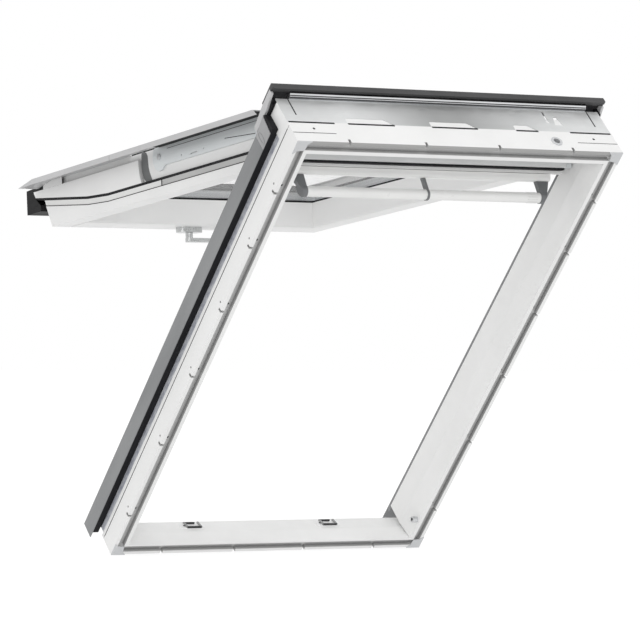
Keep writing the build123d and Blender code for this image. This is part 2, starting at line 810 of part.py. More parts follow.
# Lifting arms, from the hinge at the head to the pivot at mid height, with the tab for the rail
for hand, s in sides:
    with BuildPart() as arm:
        with BuildSketch(along(s * arm_inner)):
            with Locations((pivot_out, pivot_up)):
                Circle(arm_end_radius)
            with Locations((hinge_out, hinge_up)):
                Circle(arm_hinge_radius)
            eye_step = arm_hinge_radius / math.sqrt(2)
            outline((arm_low, pivot_up), (arm_low, arm_tab_low),
                    (rail_room, arm_tab_low), (rail_room, arm_tab_high), (arm_neck, arm_tab_high),
                    (hinge_out - eye_step, hinge_up + eye_step),
                    (hinge_out + eye_step, hinge_up - eye_step),
                    (casing_skin, casing_end - casing_end_slant), (casing_skin, pivot_up))
            outline((casing_skin, pivot_up - arm_end_radius), (casing_skin, pivot_up + arm_end_radius),
                    (pivot_out + arm_end_radius, pivot_up + arm_end_radius),
                    (pivot_out + arm_end_radius, pivot_up - arm_end_radius), mode=Mode.SUBTRACT)
            with Locations((pivot_out, pivot_up)):
                Circle(pivot_pin_radius + pin_clearance, mode=Mode.SUBTRACT)
            with Locations((hinge_out, hinge_up)):
                Circle(hinge_pin_radius + pin_clearance, mode=Mode.SUBTRACT)
            for past in arm_hole_past:
                with Locations((frame_depth - arm_hole_sink, pivot_up + past)):
                    Circle(arm_hole_radius, mode=Mode.SUBTRACT)
            with Locations(Location((frame_depth - arm_slot_sink, pivot_up + arm_slot_past, 0), (0, 0, 90))):
                SlotOverall(arm_slot_long, arm_slot_wide, mode=Mode.SUBTRACT)
        extrude(amount=s * arm_thick)
        with BuildSketch(along(s * (arm_inner + arm_thick))):
            crease = [(frame_depth - sink, hinge_up - drop)
                      for sink, drop in zip(arm_crease_sink, arm_crease_drop)]
            outline(*crease, *((out - arm_crease_wide, up) for out, up in reversed(crease)))
        extrude(amount=-s * arm_crease_deep, mode=Mode.SUBTRACT)
        with BuildSketch(along(s * (arm_inner + arm_thick))):
            outline((rail_room, rail_ear_up), (rail_out, rail_ear_up), (rail_out, arm_tab_high),
                    (rail_room, arm_tab_high))
        extrude(amount=s * rail_ear)
    save(arm, f"lifting_arm_{hand}", opened)

# Rail that ties the two arms together under the head, open to the back, and its seal
with BuildPart() as arm_rail:
    with BuildSketch(along(-arm_inner)):
        outline((rail_room, rail_low), (rail_out, rail_low), (rail_out, rail_low + rail_wall),
                (rail_room + rail_wall, rail_low + rail_wall),
                (rail_room + rail_wall, rail_low + rail_depth - rail_wall),
                (rail_out, rail_low + rail_depth - rail_wall), (rail_out, rail_low + rail_depth),
                (rail_room, rail_low + rail_depth))
    extrude(amount=2 * arm_inner)
save(arm_rail, "arm_rail", opened)

with BuildPart() as rail_seal:
    with BuildSketch(along(-arm_inner)):
        outline((rail_room - rail_seal_thick, rail_seal_low), (rail_room, rail_seal_low),
                (rail_room, rail_seal_end), (rail_room - rail_seal_thick, rail_seal_end))
    extrude(amount=2 * arm_inner)
save(rail_seal, "rail_seal", opened)

# Upper side casings, carried by the arms, with a tongue that reaches past the pivot
tongue_low = pivot_up - casing_reach
tongue_inner = arm_inner + casing_arm_gap
for hand, s in sides:
    with BuildPart() as upper_casing:
        with BuildSketch(across(pivot_up)):
            outline((s * casing_out, casing_low), (s * casing_out, casing_top),
                    (s * arm_inner, casing_top), (s * arm_inner, casing_skin),
                    (s * (casing_out - casing_thick), casing_skin),
                    (s * (casing_out - casing_thick), casing_low))
        extrude(amount=casing_end - pivot_up)
        with BuildSketch(across(tongue_low)):
            outline((s * casing_out, casing_low), (s * casing_out, casing_top),
                    (s * tongue_inner, casing_top), (s * tongue_inner, casing_skin),
                    (s * (casing_out - casing_thick), casing_skin),
                    (s * (casing_out - casing_thick), casing_low))
        extrude(amount=casing_reach)
        with BuildSketch(along(s * (arm_inner - casing_thick))):
            outline((casing_low, casing_end), (casing_top, casing_end - casing_end_slant),
                    (casing_top + casing_thick, casing_end), (casing_top, casing_end + casing_thick))
        extrude(amount=s * (casing_out - arm_inner + 2 * casing_thick), mode=Mode.SUBTRACT)
    save(upper_casing, f"upper_casing_{hand}", opened)

# Side members of the sash: room band and lower pad stand proud of a recessed wall, the pad
# ends in an arc about the pivot, and the foot follows the sloping underside of the sash
lowest = sash_foot - edge_round
band_line = ((band_low + foot_rise, lowest), (band_low + bend_rise, bend_low), (band_low, bend_high))


def shifted(points, step):
    """The same line moved outwards by one step."""
    return tuple((out + step, up) for out, up in points)


foot_waste = ((sash_room - edge_round, sash_corner),) + foot_line + (
    (foot_line[-1][0], lowest - edge_round), (sash_room - edge_round, lowest - edge_round))
strip_low = shifted(band_line, strip_gap)
seal_line = shifted(band_line, strip_width)
pad_line = shifted(seal_line, gasket_width)
rib_low = apron_high + casing_gap
for hand, s in sides:
    with BuildPart() as sash_side:
        with BuildSketch(across(sash_foot)) as section:
            outline((s * sash_inner, sash_room), (s * sash_wall, sash_room),
                    (s * sash_wall, sash_wall_top), (s * (sash_wall - side_wall), sash_wall_top),
                    (s * (sash_wall - side_wall), glass_shelf), (s * sash_inner, glass_shelf))
            fillet(section.vertices().sort_by(Axis.Y)[:2].sort_by(Axis.X)[0 if s > 0 else -1], edge_round)
        extrude(amount=sash_top_end - sash_foot)
        with BuildSketch(along(s * sash_wall)):
            outline((sash_wall_top, lowest), *pad_line, (pad_line[-1][0], pivot_up), (sash_wall_top, pivot_up))
            with Locations((pivot_out, pivot_up)):
                Circle(pad_radius, mode=Mode.SUBTRACT)
            outline((sash_room, lowest), *band_line, (band_low, sash_top_end), (sash_room, sash_top_end))
        extrude(amount=s * (sash_half - sash_wall))
        with BuildSketch(along(s * rib_inner)):
            outline((sash_wall_top, rib_low), (sash_wall_top, pivot_up + rib_reach),
                    (casing_skin - rib_gap, pivot_up + rib_reach), (casing_skin - rib_gap, joint_up),
                    (casing_skin, joint_up), (casing_skin, rib_low))
        extrude(amount=s * rib_thick)
        with BuildSketch(along(s * sash_inner)):
            outline((sash_room - top_lip, top_rail_end), (sash_room, top_step_up),
                    (sash_room, sash_top_end), (sash_room - top_lip, sash_top_end))
        extrude(amount=s * (sash_half - sash_inner))
        with BuildSketch(along(s * (sash_inner - edge_round))):
            outline(*foot_waste)
        extrude(amount=s * (sash_half - sash_inner + 2 * edge_round), mode=Mode.SUBTRACT)
        with BuildSketch(along(s * (sash_wall - pin_inset))):
            with Locations((pivot_out, pivot_up)):
                Circle(pivot_pin_radius)
        extrude(amount=s * pin_inset, mode=Mode.SUBTRACT)
        if s > 0:
            bolt_start = sash_half - bolt_rest - bolt_length
            with BuildSketch(along(bolt_start - bolt_clearance)):
                with Locations((bolt_out, bolt_up)):
                    Circle(bolt_radius + pin_clearance)
            extrude(amount=bolt_length + bolt_rest + bolt_clearance, mode=Mode.SUBTRACT)
            with BuildSketch(facing(sash_room)):
                slot_long = bolt_travel + 2 * (bolt_knob_radius + bolt_clearance)
                with Locations((bolt_knob_place + bolt_travel / 2, bolt_up)):
                    SlotOverall(slot_long, 2 * (bolt_knob_radius + bolt_clearance))
            extrude(amount=sash_room - bolt_out, mode=Mode.SUBTRACT)
    save(sash_side, f"sash_side_{hand}", opened)

# Bottom member of the sash, with the groove for the lock bar along its bevel
on_bevel = Plane(
    origin=(0, lock_out, sash_corner - (sash_corner - bevel_up) * (lock_out - sash_room) / (bevel_out - sash_room)),
    x_dir=(1, 0, 0), z_dir=(0, bevel_up - sash_corner, sash_room - bevel_out))
lock_bar_long = 2 * (lock_place + lock_bar_over)
with BuildPart() as sash_bottom:
    with BuildSketch(along(-sash_inner)) as section:
        outline(*foot_line, (sash_wall_top, sash_foot), (sash_wall_top, apron_high),
                (glass_shelf, apron_high), (glass_shelf, bottom_rail_top), (sash_room, bottom_rail_top))
        fillet(section.vertices().group_by(Axis.X)[0].sort_by(Axis.Y)[-1], edge_round)
    extrude(amount=2 * sash_inner)
    for hand, s in sides:
        with BuildSketch(along(s * sash_inner)):
            outline((glass_shelf, sash_foot), (sash_wall_top, sash_foot), (sash_wall_top, apron_high),
                    (glass_shelf, apron_high))
            outline(*foot_waste, mode=Mode.SUBTRACT)
        extrude(amount=s * (sash_wall - side_wall - sash_inner))
    with BuildSketch(on_bevel):
        Rectangle(lock_bar_long + lock_travel + 2 * lock_gap, lock_bar_wide + 2 * lock_gap)
    extrude(amount=-(lock_bar_thick + 2 * lock_gap), mode=Mode.SUBTRACT)
save(sash_bottom, "sash_bottom", opened)

with BuildPart() as sash_top:
    with BuildSketch(along(-sash_inner)) as section:
        outline((sash_room, top_rail_low), (sash_room, top_step_up), (sash_room - top_lip, top_rail_end),
                (sash_room - top_lip, sash_top_end), (sash_wall_top, sash_top_end),
                (sash_wall_top, top_rail_end), (glass_shelf, top_rail_end), (glass_shelf, top_rail_low))
        fillet(section.vertices().group_by(Axis.Y)[0].sort_by(Axis.X)[0], edge_round)
    extrude(amount=2 * sash_inner)
    for hand, s in sides:
        with BuildSketch(along(s * sash_inner)):
            outline((glass_shelf, top_rail_end), (sash_wall_top, top_rail_end),
                    (sash_wall_top, sash_top_end), (glass_shelf, sash_top_end))
        extrude(amount=s * (sash_wall - side_wall - sash_inner))
save(sash_top, "sash_top", opened)

# Double glazing on its gaskets: two panes, the spacer between them and the outer seal
glass_frames = (
    ("glazing_gasket_inner", glass_shelf, shelf_seal, sash_inner + shelf_inset,
     bottom_rail_top - shelf_inset, top_rail_low + shelf_inset, gasket_width),
    ("glass_spacer", pane_mid, pane_gap, glass_half - spacer_inset - spacer_wide,
     glass_low + spacer_inset + spacer_wide, glass_high - spacer_inset - spacer_wide, spacer_wide),
    ("glazing_gasket_outer", pane_out, sash_wall_top - pane_out, glass_half - cap_seal_wide,
     glass_low + cap_seal_wide, glass_high - cap_seal_wide, cap_seal_wide))
for name, depth, thick, ring_half, ring_low, ring_high, wide in glass_frames:
    with BuildPart() as ring:
        with BuildSketch(facing(depth)):
            with Locations((0, (ring_low + ring_high) / 2)):
                Rectangle(2 * (ring_half + wide), ring_high - ring_low + 2 * wide)
                Rectangle(2 * ring_half, ring_high - ring_low, mode=Mode.SUBTRACT)
        extrude(amount=-thick)
    save(ring, name, opened)

for name, depth in (("glass_pane_inner", pane_in), ("glass_pane_outer", pane_far)):
    with BuildPart() as pane:
        with BuildSketch(facing(depth)):
            with Locations((0, (glass_low + glass_high) / 2)):
                Rectangle(2 * glass_half, glass_high - glass_low)
        extrude(amount=-pane_thick)
    save(pane, name, opened)

# Aluminium strips and rubber seals on the recessed walls of the sash
strip_out = sash_half - trim_inset
for hand, s in sides:
    for level in ("upper", "lower"):
        with BuildPart() as edge_strip:
            with BuildSketch(along(s * sash_wall)):
                if level == "upper":
                    outline((band_low + strip_gap, trim_split), (band_low + strip_width, trim_split),
                            (band_low + strip_width, sash_top_end), (band_low + strip_gap, sash_top_end))
                else:
                    outline(*strip_low, (band_low + strip_gap, trim_split),
                            (band_low + strip_width, trim_split), *reversed(seal_line))
                    outline(*foot_waste, mode=Mode.SUBTRACT)
            extrude(amount=s * (strip_out - sash_wall))
        save(edge_strip, f"edge_strip_{level}_{hand}", opened)

    with BuildPart() as edge_seal:
        with BuildSketch(along(s * sash_wall)):
            outline(*seal_line, (band_low + strip_width, sash_top_end),
                    (band_low + strip_width + gasket_width, sash_top_end), *reversed(pad_line))
            outline(*foot_waste, mode=Mode.SUBTRACT)
        extrude(amount=s * (strip_out - sash_wall))
    save(edge_seal, f"edge_seal_{hand}", opened)

# Lower side casings of the sash: an outer flange, a top sheet that bends down over the foot
# beside the apron, and the flat sheet that laps the glass
for hand, s in sides:
    with BuildPart() as lower_casing:
        with BuildSketch(along(s * (casing_out - casing_thick))):
            outline((casing_low, casing_foot), (casing_top, casing_foot + casing_slant),
                    (casing_top, joint_up), (casing_low, joint_up))
        extrude(amount=s * casing_thick)
        with BuildSketch(along(s * casing_split)):
            outline((casing_low, casing_foot), (casing_top, casing_foot + casing_slant),
                    (casing_top, joint_up), (casing_skin, joint_up),
                    (casing_skin, casing_foot + casing_slant + casing_thick),
                    (casing_low, casing_foot + casing_gap + casing_slant * casing_thick
                     / (casing_top - casing_low)))
        extrude(amount=s * (casing_out - casing_split))
        with BuildSketch(along(s * casing_inner)):
            outline((casing_skin, 0), (casing_top, 0), (casing_top, joint_up), (casing_skin, joint_up))
        extrude(amount=s * (casing_split - casing_inner))
    save(lower_casing, f"lower_casing_{hand}", opened)

# Glazing cover: one bent sheet that frames the glass from the casing joint up and over the head
with BuildPart() as glass_cover:
    with BuildSketch(facing(sash_wall_top)):
        outline((-glass_cover_out, joint_up + casing_gap), (glass_cover_out, joint_up + casing_gap),
                (glass_cover_out, sash_top_end), (-glass_cover_out, sash_top_end))
        outline((-casing_inner, joint_up + casing_gap), (casing_inner, joint_up + casing_gap),
                (casing_inner, top_rail_end - cap_seal_wide), (-casing_inner, top_rail_end - cap_seal_wide),
                mode=Mode.SUBTRACT)
    extrude(amount=-glass_cover_thick)
save(glass_cover, "glass_cover", opened)

# Dark apron that caps the foot of the sash and hooks under it
with BuildPart() as bottom_apron:
    with BuildSketch(along(-sash_half)):
        outline((apron_top, apron_high), (sash_wall_top, apron_high), (sash_wall_top, apron_low + apron_wall),
                (apron_foot + apron_leg, apron_low + apron_wall), (apron_foot + apron_leg, apron_reach),
                (apron_foot, apron_reach), (apron_foot, apron_low), (apron_nose, apron_low))
    extrude(amount=2 * sash_half)
save(bottom_apron, "bottom_apron", opened)

# Pivot pins of the sash in the round ends of the arms, with a head outside
with BuildPart() as pivot_pins:
    head_start = arm_inner + arm_thick + pin_head_gap
    for hand, s in sides:
        with BuildSketch(along(s * (sash_wall - pin_inset))):
            with Locations((pivot_out, pivot_up)):
                Circle(pivot_pin_radius)
        extrude(amount=s * (head_start - sash_wall + pin_inset))
        with BuildSketch(along(s * head_start)):
            with Locations((pivot_out, pivot_up)):
                Circle(pin_head_radius)
        extrude(amount=s * pin_head_thick)
save(pivot_pins, "pivot_pins", opened)

# Vent flap with its end pins, the two bearings it turns in, and the control bar on brackets
with BuildPart() as vent_flap:
    with BuildSketch(along(-flap_half)) as section:
        outline((flap_room, flap_low), (flap_room + flap_thick, flap_low),
                (flap_room + flap_thick, flap_low + flap_length), (flap_room, flap_low + flap_length))
        fillet(section.vertices().group_by(Axis.X)[0], flap_round)
    extrude(amount=2 * flap_half)
    for hand, s in sides:
        with BuildSketch(along(s * flap_half)):
            with Locations((flap_pivot_out, flap_pivot_up)):
                Circle(flap_pin_radius)
        extrude(amount=s * flap_pin_long)
save(vent_flap, "vent_flap", opened)

with BuildPart() as flap_bearings:
    for hand, s in sides:
        with BuildSketch(along(s * (flap_half + flap_side_gap))):
            outline((sash_room, flap_pivot_up - flap_ear_radius), (sash_room, flap_pivot_up + flap_ear_radius),
                    (flap_pivot_out, flap_pivot_up + flap_ear_radius),
                    (flap_pivot_out, flap_pivot_up - flap_ear_radius))
            with Locations((flap_pivot_out, flap_pivot_up)):
                Circle(flap_ear_radius)
                Circle(flap_pin_radius + pin_clearance, mode=Mode.SUBTRACT)
        extrude(amount=s * flap_ear)
save(flap_bearings, "flap_bearings", opened)

with BuildPart() as control_bar:
    with BuildSketch(along(-bar_half)):
        with Locations((bar_out, bar_up)):
            Circle(bar_radius)
    extrude(amount=2 * bar_half)
    with BuildSketch(along(bar_half - grip_inset - grip_long)):
        with Locations((bar_out, bar_up)):
            with PolarLocations(bar_radius, grip_ribs):
                Rectangle(grip_rib, grip_rib)
    extrude(amount=grip_long)
save(control_bar, "control_bar", opened)

bracket_web = ((flap_room, flap_low + flap_round), (flap_room, flap_low + flap_length - flap_round),
               (bar_out, bar_up + bar_radius + bracket_wall), (bar_out, bar_up))
bracket_room = bar_out - bar_radius - 2 * bracket_wall
with BuildPart() as bar_brackets:
    with BuildSketch(along(middle_bracket - bracket_thick / 2)):
        outline(*bracket_web)
        with Locations((bar_out, bar_up)):
            Circle(bar_radius + bracket_wall)
            Circle(bar_radius, mode=Mode.SUBTRACT)
    extrude(amount=bracket_thick)
    for hand, s in sides:
        with BuildSketch(along(s * bar_half)):
            outline(*bracket_web)
            with Locations((bar_out, bar_up)):
                Circle(bar_radius + bracket_wall)
        extrude(amount=s * bracket_wide)
    with BuildSketch(across(flap_low)):
        for hand, s in sides:
            outline((s * (bar_half + bracket_tip), bracket_room),
                    (s * (bar_half + bracket_wide), flap_room),
                    (s * (bar_half + 2 * bracket_wide), flap_room),
                    (s * (bar_half + 2 * bracket_wide), bracket_room))
    extrude(amount=2 * flap_length, mode=Mode.SUBTRACT)
save(bar_brackets, "bar_brackets", opened)

# Handle: rosette fixed to the sash, and the lever with its neck and spindle
with BuildPart() as handle_rosette:
    with BuildSketch(facing(sash_room)):
        with Locations((handle_across, handle_up)):
            SlotOverall(rosette_long, rosette_wide)
            Circle(spindle_radius + pin_clearance, mode=Mode.SUBTRACT)
    extrude(amount=rosette_thick)
save(handle_rosette, "handle_rosette", opened)

with BuildPart() as handle_lever:
    rosette_face = sash_room - rosette_thick
    with BuildSketch(facing(sash_room - 2 * neck_gap)):
        with Locations((handle_across, handle_up)):
            Circle(spindle_radius)
    extrude(amount=rosette_thick)
    with BuildSketch(facing(rosette_face - neck_gap)):
        with Locations((handle_across, handle_up)):
            Circle(neck_radius)
    extrude(amount=neck_length)
    with BuildSketch(facing(rosette_face - neck_length)):
        with Locations((handle_across + lever_length / 2 - lever_wide / 2, handle_up)):
            SlotOverall(lever_length, lever_wide)
    extrude(amount=lever_thick)
save(handle_lever, "handle_lever", opened)

# Lock bar in the groove of the bevel, with the two pins that reach into the strikers
with BuildPart() as lock_bar:
    with BuildSketch(on_bevel.offset(-lock_gap)):
        with Locations((-lock_travel / 2, 0)):
            Rectangle(lock_bar_long, lock_bar_wide)
    extrude(amount=-lock_bar_thick)
    with BuildSketch(on_bevel.offset(-lock_gap)):
        for hand, s in sides:
            with Locations((s * lock_place - lock_travel / 2, 0)):
                Circle(lock_radius)
    extrude(amount=lock_proud + lock_gap)
save(lock_bar, "lock_bar", opened)

# Barrel bolt on the right of the sash, with its thumb knob in a slot
with BuildPart() as barrel_bolt:
    with BuildSketch(along(bolt_start)):
        with Locations((bolt_out, bolt_up)):
            Circle(bolt_radius)
    extrude(amount=bolt_length)
    with BuildSketch(facing(bolt_out)):
        with Locations((bolt_knob_place, bolt_up)):
            Circle(bolt_knob_radius)
    extrude(amount=bolt_out - sash_room + bolt_knob_proud)
save(barrel_bolt, "barrel_bolt", opened)
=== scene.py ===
import json
import math

import bmesh
import bpy
from mathutils import Matrix, Vector

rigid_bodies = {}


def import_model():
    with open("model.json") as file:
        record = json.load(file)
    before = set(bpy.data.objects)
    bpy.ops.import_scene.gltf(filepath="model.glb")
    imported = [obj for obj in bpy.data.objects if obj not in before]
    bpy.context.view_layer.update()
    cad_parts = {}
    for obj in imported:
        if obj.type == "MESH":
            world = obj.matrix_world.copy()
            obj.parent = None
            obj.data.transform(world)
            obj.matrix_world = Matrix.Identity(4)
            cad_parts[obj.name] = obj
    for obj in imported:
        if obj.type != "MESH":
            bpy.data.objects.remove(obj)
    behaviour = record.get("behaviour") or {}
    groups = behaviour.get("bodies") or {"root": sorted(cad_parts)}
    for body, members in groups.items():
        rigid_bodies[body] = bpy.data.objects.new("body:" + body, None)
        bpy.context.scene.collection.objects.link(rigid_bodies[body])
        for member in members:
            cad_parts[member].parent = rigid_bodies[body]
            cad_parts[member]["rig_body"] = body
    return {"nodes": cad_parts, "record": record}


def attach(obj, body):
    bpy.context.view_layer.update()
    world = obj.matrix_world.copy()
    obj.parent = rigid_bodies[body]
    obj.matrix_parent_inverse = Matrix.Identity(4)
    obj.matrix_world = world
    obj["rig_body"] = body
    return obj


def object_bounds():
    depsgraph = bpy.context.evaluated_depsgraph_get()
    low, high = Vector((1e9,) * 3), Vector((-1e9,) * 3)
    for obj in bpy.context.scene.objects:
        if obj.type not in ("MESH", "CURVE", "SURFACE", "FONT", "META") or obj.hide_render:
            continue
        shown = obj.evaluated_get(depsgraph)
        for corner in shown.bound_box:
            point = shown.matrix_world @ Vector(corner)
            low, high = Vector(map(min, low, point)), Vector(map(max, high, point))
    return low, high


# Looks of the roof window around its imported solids: procedural materials for every piece, small
# trim, the floor, the light and the camera. Everything is in metres, in the row's own frame,
# apart from the trim, which is drawn in millimetres.

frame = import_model()
cad_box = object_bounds()
nodes = frame["nodes"]

# Directions that brushed and streaked finishes follow: up the frame's slope, and along the sash
FRAME_LEAN = math.radians(43.0)
SASH_LEAN = math.radians(84.0)
MM = 0.001
SIDES = (("L", -1), ("R", 1))

# Texture sizes, in waves per metre
CLOUD_SCALE, HANDLED_SCALE, PEEL_SCALE = 9.0, 38.0, 900.0
STREAK_SCALE, METAL_CLOUD_SCALE = 260.0, 7.0
ZINC_SCALE, ZINC_STREAK_SCALE, ZINC_CLOUD_SCALE = 95.0, 160.0, 5.0
BLOOM_SCALE, EXTRUSION_SCALE = 42.0, 500.0
CRUMPLE_SCALE, FILM_SCALE = 120.0, 14.0

# Relief depths, in metres
PEEL_DEPTH, STREAK_DEPTH, EXTRUSION_DEPTH, CRUMPLE_DEPTH = 0.00003, 0.00002, 0.00004, 0.0006

# Painted crevice shade: how far it looks around, and the openness at which it is full and none
CREVICE_REACH, CREVICE_SAMPLES, CREVICE_SHUT, CREVICE_OPEN = 0.02, 8, 0.35, 0.92


class Finish:
    """A material under construction: its node tree and the principled shader in it."""

    def __init__(self, name, roughness, metallic=0.0):
        self.material = bpy.data.materials.new(name)
        self.material.use_nodes = True
        self.tree = self.material.node_tree
        self.shader = self.tree.nodes["Principled BSDF"]
        self.set("Roughness", roughness)
        self.set("Metallic", metallic)
        self.place = self.add("ShaderNodeTexCoord").outputs["Object"]

    @classmethod
    def around(cls, material):
        """Take up a finished material again, to lay more over it."""
        finish = cls.__new__(cls)
        finish.material = material
        finish.tree = material.node_tree
        finish.shader = finish.tree.nodes["Principled BSDF"]
        finish.place = finish.tree.nodes["Texture Coordinate"].outputs["Object"]
        return finish

    def set(self, socket, value):
        self.shader.inputs[socket].default_value = value

    def add(self, kind, **settings):
        node = self.tree.nodes.new(kind)
        for key, value in settings.items():
            setattr(node, key, value)
        return node

    def link(self, a, b):
        self.tree.links.new(a, b)

    def wear(self, socket, output):
        """Drive a socket of the shader by an output."""
        self.link(output, self.shader.inputs[socket])

    def maths(self, operation, *terms):
        """Math node over outputs and numbers."""
        node = self.add("ShaderNodeMath", operation=operation)
        for socket, term in zip(node.inputs, terms):
            if isinstance(term, float):
                socket.default_value = term
            else:
                self.link(term, socket)
        return node.outputs[0]

    def along(self, lean, stretch):
        """Coordinates turned to a slope and stretched: across, outwards and along the piece."""
        mapping = self.add("ShaderNodeMapping", vector_type="TEXTURE")
        mapping.inputs["Rotation"].default_value = (lean, 0.0, 0.0)
        mapping.inputs["Scale"].default_value = stretch
        self.link(self.place, mapping.inputs["Vector"])
        return mapping.outputs["Vector"]

    def noise(self, vector, scale, detail=3.0, rough=0.55):
        node = self.add("ShaderNodeTexNoise")
        node.inputs["Scale"].default_value = scale
        node.inputs["Detail"].default_value = detail
        node.inputs["Roughness"].default_value = rough
        self.link(vector, node.inputs["Vector"])
        return node.outputs["Fac"]

    def spread(self, value, low, high, start=0.3, end=0.7):
        """Map a value between start and end to the range from low to high."""
        node = self.add("ShaderNodeMapRange")
        node.inputs["From Min"].default_value = start
        node.inputs["From Max"].default_value = end
        node.inputs["To Min"].default_value = low
        node.inputs["To Max"].default_value = high
        self.link(value, node.inputs["Value"])
        return node.outputs["Result"]

    def blend(self, value, dark, light):
        """Colour between dark and light by a value from 0 to 1."""
        node = self.add("ShaderNodeMix", data_type="RGBA")
        node.inputs[6].default_value = (*dark, 1.0)
        node.inputs[7].default_value = (*light, 1.0)
        self.link(value, node.inputs[0])
        return node.outputs[2]

    def overlay(self, value, colour):
        """Lay a colour over the finished one where a value is 1."""
        node = self.add("ShaderNodeMix", data_type="RGBA")
        self.link(self.shader.inputs["Base Color"].links[0].from_socket, node.inputs[6])
        node.inputs[7].default_value = (*colour, 1.0)
        self.link(value, node.inputs[0])
        self.wear("Base Color", node.outputs[2])

    def dim(self, colour, shade):
        """Multiply a colour by a value."""
        node = self.add("ShaderNodeMix", data_type="RGBA", blend_type="MULTIPLY")
        node.inputs[0].default_value = 1.0
        self.link(colour, node.inputs[6])
        self.link(shade, node.inputs[7])
        return node.outputs[2]

    def painted_crevice_shade(self, colour, depth):
        """Darken a colour in grooves, joints and inner corners: painted shade where little light reaches.
        """
        gap = self.add("ShaderNodeAmbientOcclusion", samples=CREVICE_SAMPLES, only_local=True)
        gap.inputs["Distance"].default_value = CREVICE_REACH
        return self.dim(colour, self.spread(gap.outputs["AO"], depth, 1.0, CREVICE_SHUT, CREVICE_OPEN))

    def bump(self, height, distance, strength):
        node = self.add("ShaderNodeBump")
        node.inputs["Strength"].default_value = strength
        node.inputs["Distance"].default_value = distance
        self.link(height, node.inputs["Height"])
        self.wear("Normal", node.outputs["Normal"])

    def dot(self, direction):
        """Distance along a direction from the row's origin."""
        node = self.add("ShaderNodeVectorMath", operation="DOT_PRODUCT")
        self.link(self.place, node.inputs[0])
        node.inputs[1].default_value = direction
        return node.outputs["Value"]


def coated(name, dark, light, rough, lean, coat=0.0, depth=0.6):
    """Lacquered or moulded surface: faint clouds of colour, painted shade in its crevices, uneven gloss and
    a fine orange peel.
    """
    f = Finish(name, rough)
    clouds = f.noise(f.along(lean, (1.0, 1.0, 2.5)), CLOUD_SCALE, 4.0)
    f.wear("Base Color", f.painted_crevice_shade(f.blend(f.spread(clouds, 0.0, 1.0), dark, light), depth))
    handled = f.noise(f.along(lean, (1.0, 1.0, 4.0)), HANDLED_SCALE, 5.0, 0.65)
    f.wear("Roughness", f.spread(handled, rough - 0.06, rough + 0.08))
    f.bump(f.noise(f.place, PEEL_SCALE, 2.0), PEEL_DEPTH, 0.6)
    f.set("Coat Weight", coat)
    f.set("Coat Roughness", 0.25)
    return f.material


def brushed(name, dark, light, rough, lean, metallic=1.0, stretch=(1.0, 1.0, 60.0)):
    """Rolled or brushed metal: streaks along the piece in colour, gloss and relief."""
    f = Finish(name, rough, metallic)
    lines = f.noise(f.along(lean, stretch), STREAK_SCALE, 4.0, 0.6)
    clouds = f.noise(f.along(lean, (1.0, 1.0, 3.0)), METAL_CLOUD_SCALE, 3.0)
    tone = f.maths("ADD", f.spread(lines, 0.0, 0.45), f.spread(clouds, 0.0, 0.55))
    f.wear("Base Color", f.blend(tone, dark, light))
    f.wear("Roughness", f.spread(lines, rough - 0.07, rough + 0.1))
    f.bump(lines, STREAK_DEPTH, 0.5)
    return f.material


def galvanised(name, lean):
    """Galvanised sheet: soft zinc flowers over faint rolling streaks, darker towards the middle in painted
    shade.
    """
    rough = 0.5
    f = Finish(name, rough, 0.45)
    cells = f.add("ShaderNodeTexVoronoi")
    cells.inputs["Scale"].default_value = ZINC_SCALE
    f.link(f.along(lean, (1.6, 1.0, 1.0)), cells.inputs["Vector"])
    grey = f.add("ShaderNodeSeparateColor")
    f.link(cells.outputs["Color"], grey.inputs[0])
    flower = grey.outputs[0]
    streaks = f.noise(f.along(lean, (40.0, 1.0, 1.0)), ZINC_STREAK_SCALE, 3.0)
    clouds = f.noise(f.along(lean, (2.0, 1.0, 1.0)), ZINC_CLOUD_SCALE, 2.0)
    tone = f.maths("MULTIPLY_ADD", flower, 0.14, f.spread(clouds, 0.0, 0.7))
    tone = f.maths("MULTIPLY_ADD", streaks, 0.2, tone)
    zinc = f.blend(tone, (0.60, 0.61, 0.61), (0.84, 0.85, 0.85))
    # Painted shade: the zinc darkens towards the middle across the window
    from_middle = f.maths("ABSOLUTE", f.dot((1.0, 0.0, 0.0)))
    f.wear("Base Color", f.dim(zinc, f.spread(from_middle, 0.52, 1.0, 0.03, 0.24)))
    f.wear("Roughness", f.spread(flower, rough - 0.05, rough + 0.1, 0.0, 1.0))
    f.bump(streaks, STREAK_DEPTH, 0.4)
    return f.material


def rubber(name, lean):
    """Black sealing rubber with a faint bloom and extrusion lines."""
    f = Finish(name, 0.62)
    bloom = f.noise(f.along(lean, (1.0, 1.0, 6.0)), BLOOM_SCALE, 4.0)
    f.set("Specular IOR Level", 0.18)
    f.wear("Base Color", f.blend(f.spread(bloom, 0.0, 1.0), (0.004, 0.004, 0.005), (0.012, 0.012, 0.014)))
    lines = f.noise(f.along(lean, (1.0, 1.0, 80.0)), EXTRUSION_SCALE, 2.0)
    f.wear("Roughness", f.spread(lines, 0.55, 0.75))
    f.bump(lines, EXTRUSION_DEPTH, 0.5)
    return f.material


def foil(name, lean):
    """Crumpled bluish foil on the insulation strip."""
    f = Finish(name, 0.36, 0.35)
    crumple = f.noise(f.along(lean, (1.0, 1.0, 2.2)), CRUMPLE_SCALE, 5.0, 0.6)
    f.wear("Base Color", f.blend(f.spread(crumple, 0.0, 1.0), (0.42, 0.44, 0.52), (0.86, 0.88, 0.92)))
    f.bump(crumple, CRUMPLE_DEPTH, 0.7)
    return f.material


